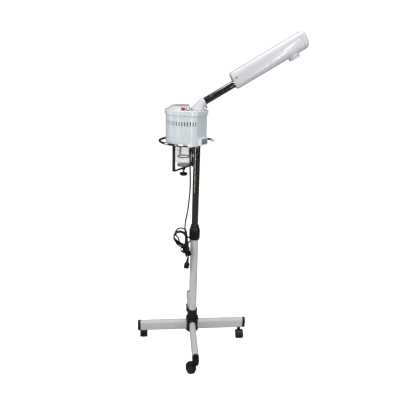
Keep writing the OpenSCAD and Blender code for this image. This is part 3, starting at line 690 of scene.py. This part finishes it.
def build_housing():
    """The long cover with a hole for the tube at its near end, and the cap that closes its far end."""
    rings = [round_hole_ring(HOUSE_START + 8, 15.2), round_hole_ring(HOUSE_START + 0.4, 15.2),
             round_hole_ring(HOUSE_START, 15.8)]
    for k in range(8):
        a = math.radians(90 * k / 7)
        rings.append(house_ring(HOUSE_START + HOUSE_NEAR * (1 - math.cos(a)), HOUSE_NEAR * (1 - math.sin(a))))
    rings += [house_ring(s, 0) for s in range(200, 481, 20)]
    rings += [house_ring(HOUSE_SEAM - back, inset) for back, inset in ((0.9, 0), (0.3, 0.45), (0.3, 2))]
    housing = piece("housing_moulding", loft("housing_moulding", rings), "arm", "cover_plastic")
    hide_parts("arm_housing")
    cap = [house_ring(HOUSE_SEAM + on, inset) for on, inset in ((0.2, 2), (0.2, 0.45), (0.8, 0))]
    deep = HOUSE_END - HOUSE_SEAM - 4
    for k in range(13):
        a = math.radians(90 * k / 12)
        cap.append(house_ring(HOUSE_END - deep + (deep - 0.6) * math.sin(a), 21 * (1 - math.cos(a))))
    cap.append(house_ring(HOUSE_END - 0.2, 25))
    cap.append(house_ring(HOUSE_END, 28.5))
    end = piece("end_cap_moulding", loft("end_cap_moulding", cap, "open", "cap"), "arm", "cover_plastic")
    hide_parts("arm_end_cap")


def in_metres(profile):
    return [(radius * MM, height * MM) for radius, height in profile]


def build_nozzle():
    """A short boss under the housing and the outlet that turns in it."""
    outlet = joint_place("nozzle_turn")
    down = Vector(joint_axis("nozzle_turn"))
    place = Matrix.Translation(outlet) @ down.to_track_quat("Z", "Y").to_matrix().to_4x4()
    boss = [(19.7, 2.9), (22.8, 2.9), (23.3, 2.5), (23.5, 1.8), (23.5, -1), (23.5, -6), (23.5, -9)]
    collar = piece("nozzle_boss", lathe("nozzle_boss", in_metres(boss), place), "arm", "cover_plastic")
    profile = [(19.5, -10), (19.5, 3.4), (22.4, 3.4), (23.1, 3.7), (23.5, 4.4), (23.5, 10.2), (23.2, 11.6),
               (22.4, 12.6), (21.2, 13.0), (18.6, 13.0), (18.0, 12.6), (14.6, 9.2), (14.2, 9.0), (11.4, 9.0),
               (11.0, 8.6), (11.0, -11.9)]
    nozzle = piece("nozzle_moulding", lathe("nozzle_moulding", in_metres(profile), place), "nozzle_head",
                   "cover_plastic")
    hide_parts("nozzle")
    sharpen(collar.data)
    sharpen(nozzle.data)


PLATE_BACK = 91.4
PLATE_UP = 18
RIVET_ASIDE = 20.5


def build_shade_plate():
    """A thin blue-grey plate in the recess of the rear box, held by two rivets; its blue-grey is painted shade on
    that face.
    """
    height = body_low + PLATE_UP * MM
    place = BODY @ Matrix.Translation((PLATE_BACK * MM, 0, height))
    # Painted shade: the blue-grey plate darkens the rear box's face.
    piece("rear_box_shade_plate", block("rear_box_shade_plate", (0.7 * MM, 46 * MM, 22 * MM), place, 0.25 * MM), "head",
          "white_plastic", SHADE_BLUE_GREY)
    for side in (-1, 1):
        rivet = BODY @ Matrix.Translation(((PLATE_BACK + 0.3) * MM, side * RIVET_ASIDE * MM, height))
        rivet = rivet @ Matrix.Rotation(math.pi / 2, 4, "Y")
        dome = in_metres([(1.6, 0), (1.5, 0.35), (1.0, 0.65), (0, 0.75)])
        piece("plate_rivet_%d" % (side + 2), lathe("plate_rivet", dome, rivet, 20), "head", "zinc_steel")


MARK_UP = 66
MARK_FROM = -152


def build_level_mark():
    """A short red bar printed on the jar's wall."""
    centre = Vector((jar_middle.x, jar_middle.y, box_low("jar").z + MARK_UP * MM))
    rings = []
    for k in range(9):
        a = math.radians(MARK_FROM + 1.3 * k)
        way = Vector((math.cos(a), math.sin(a), 0))
        rings.append([centre + way * reach * MM + Vector((0, 0, rise * MM))
                      for reach, rise in ((36.05, -2), (36.3, -2), (36.3, 2), (36.05, 2))])
    piece("level_mark", loft("level_mark", rings, "cap", "cap"), "head", "red_rocker", RED_INK)


def build_cover_screw():
    """The small dark screw that holds the housing on its tube."""
    place = ARM @ Matrix.Translation((SCREW_ALONG * MM, -HOUSE_DEPTH / 2 * MM, SCREW_UP * MM))
    place = place @ Matrix.Rotation(math.pi / 2, 4, "X")
    head = in_metres([(3.0, 0), (3.0, 0.5), (2.7, 0.8), (1.3, 0.85), (1.2, 0.3), (0, 0.3)])
    piece("cover_screw", lathe("cover_screw", head, place, 24), "arm", "black_plastic")


SOFT_EDGES = {"jar_bracket": 0.5, "bracket_hanger": 0.4, "rear_box": 1.6, "height_collar": 0.6, "hub": 1.0,
              "leg_caps": 1.2, "clamp_knob": 0.8, "control_panel": 1.2, "switch_bodies": 0.4,
              "power_rocker": 0.5, "ozone_rocker": 0.5, "legs": 0.4}


def soften_steel():
    """Small bevels where the CAD has sharp sheet and bar edges."""
    for node, width in SOFT_EDGES.items():
        bevel = frame["nodes"][node].modifiers.new("bevel", "BEVEL")
        bevel.width = width * MM
        bevel.segments = 2
        bevel.limit_method = "ANGLE"
        bevel.angle_limit = math.radians(40)
        bevel.harden_normals = False


build_lid()
build_elbow()
build_housing()
build_nozzle()
build_shade_plate()
build_level_mark()
build_cover_screw()
soften_steel()


# ---- stage: floor, backdrop and soft light ----

FLOOR_GLOW = 0.74
FLOOR_HALF = 9
FLOOR_FRONT = -4.0
SWEEP_FROM = 3.4
SWEEP_RADIUS = 1.6
BACKDROP_TOP = 6.0
FLOOR_DROP = 0.5 * MM


def build_stage():
    """A pale floor that curves up into a backdrop."""
    profile = [(FLOOR_FRONT, 0.0)]
    for k in range(13):
        a = math.radians(90 * k / 12)
        profile.append((SWEEP_FROM + SWEEP_RADIUS * math.sin(a), SWEEP_RADIUS * (1 - math.cos(a))))
    profile.append((SWEEP_FROM + SWEEP_RADIUS, BACKDROP_TOP))
    verts = [(side * FLOOR_HALF, y, z - FLOOR_DROP) for y, z in profile for side in (-1, 1)]
    faces = [(2 * k, 2 * k + 1, 2 * k + 3, 2 * k + 2) for k in range(len(profile) - 1)]
    material, tree, shader, coords = new_material("pale_floor")
    tree.links.new(tint(tree, noise(tree, coords, 3, 3), (0.80, 0.80, 0.80), (0.82, 0.82, 0.82)),
                   shader.inputs["Base Color"])
    shader.inputs["Roughness"].default_value = 0.9
    shader.inputs["Specular IOR Level"].default_value = 0.0
    glow = tree.nodes.new("ShaderNodeEmission")
    glow.inputs["Strength"].default_value = FLOOR_GLOW
    lit = tree.nodes.new("ShaderNodeAddShader")
    dim = tree.nodes.new("ShaderNodeBsdfDiffuse")
    dim.inputs["Color"].default_value = (0.50, 0.49, 0.48, 1)
    seen = tree.nodes.new("ShaderNodeLightPath")
    pick = tree.nodes.new("ShaderNodeMixShader")
    tree.links.new(shader.outputs["BSDF"], lit.inputs[0])
    tree.links.new(glow.outputs["Emission"], lit.inputs[1])
    night = tree.nodes.new("ShaderNodeBsdfDiffuse")
    night.inputs["Color"].default_value = (0.05, 0.046, 0.042, 1)
    others = tree.nodes.new("ShaderNodeMixShader")
    tree.links.new(seen.outputs["Is Glossy Ray"], others.inputs["Fac"])
    tree.links.new(dim.outputs["BSDF"], others.inputs[1])
    tree.links.new(night.outputs["BSDF"], others.inputs[2])
    tree.links.new(seen.outputs["Is Camera Ray"], pick.inputs["Fac"])
    tree.links.new(others.outputs["Shader"], pick.inputs[1])
    tree.links.new(lit.outputs["Shader"], pick.inputs[2])
    tree.links.new(pick.outputs["Shader"], tree.nodes["Material Output"].inputs["Surface"])
    mesh = to_mesh("backdrop", verts, faces)
    mesh.materials.append(material)
    floor = bpy.data.objects.new("backdrop", mesh)
    bpy.context.scene.collection.objects.link(floor)


def area_light(name, place, target, size, power, colour=(1, 1, 1)):
    data = bpy.data.lights.new(name, "AREA")
    data.shape = "RECTANGLE"
    data.size, data.size_y = size
    data.energy = power
    data.color = colour
    lamp = bpy.data.objects.new(name, data)
    lamp.location = place
    lamp.rotation_euler = (Vector(target) - Vector(place)).to_track_quat("-Z", "Y").to_euler()
    bpy.context.scene.collection.objects.link(lamp)


def build_light():
    """White to the camera, a dim room to everything else, and soft boxes."""
    world = bpy.data.worlds.new("studio")
    world.use_nodes = True
    tree = world.node_tree
    room = tree.nodes["Background"]
    room.inputs["Color"].default_value = (0.92, 0.95, 1.0, 1)
    room.inputs["Strength"].default_value = 0.52
    white = tree.nodes.new("ShaderNodeBackground")
    white.inputs["Color"].default_value = (1, 1, 1, 1)
    dark = tree.nodes.new("ShaderNodeBackground")
    dark.inputs["Color"].default_value = (0.022, 0.020, 0.018, 1)
    seen = tree.nodes.new("ShaderNodeLightPath")
    first = tree.nodes.new("ShaderNodeMixShader")
    second = tree.nodes.new("ShaderNodeMixShader")
    tree.links.new(seen.outputs["Is Glossy Ray"], first.inputs["Fac"])
    tree.links.new(room.outputs["Background"], first.inputs[1])
    tree.links.new(dark.outputs["Background"], first.inputs[2])
    tree.links.new(seen.outputs["Is Camera Ray"], second.inputs["Fac"])
    tree.links.new(first.outputs["Shader"], second.inputs[1])
    tree.links.new(white.outputs["Background"], second.inputs[2])
    tree.links.new(second.outputs["Shader"], tree.nodes["World Output"].inputs["Surface"])
    bpy.context.scene.world = world
    area_light("key", (-1.5, -2.3, 2.5), (-0.1, 0, 0.9), (0.6, 1.3), 37)
    area_light("fill", (2.4, -1.9, 1.7), (0, 0, 0.8), (0.35, 2.2), 17, (1, 0.95, 0.89))
    area_light("left", (-2.6, 0.2, 1.6), (0, 0, 0.8), (0.5, 2.0), 11, (0.92, 0.96, 1.0))
    area_light("top", (0.1, 0.1, 3.2), (0, 0, 0.6), (1.8, 1.8), 33)
    area_light("strip", (0.80, -1.84, 1.25), (-0.12, 0, 1.0), (0.05, 1.3), 5)
    area_light("warm_strip", (-2.0, -1.6, 0.95), (-0.08, 0, 0.9), (0.16, 1.9), 5, (1, 0.88, 0.74))


build_stage()
build_light()
bpy.context.scene.view_settings.view_transform = "Standard"
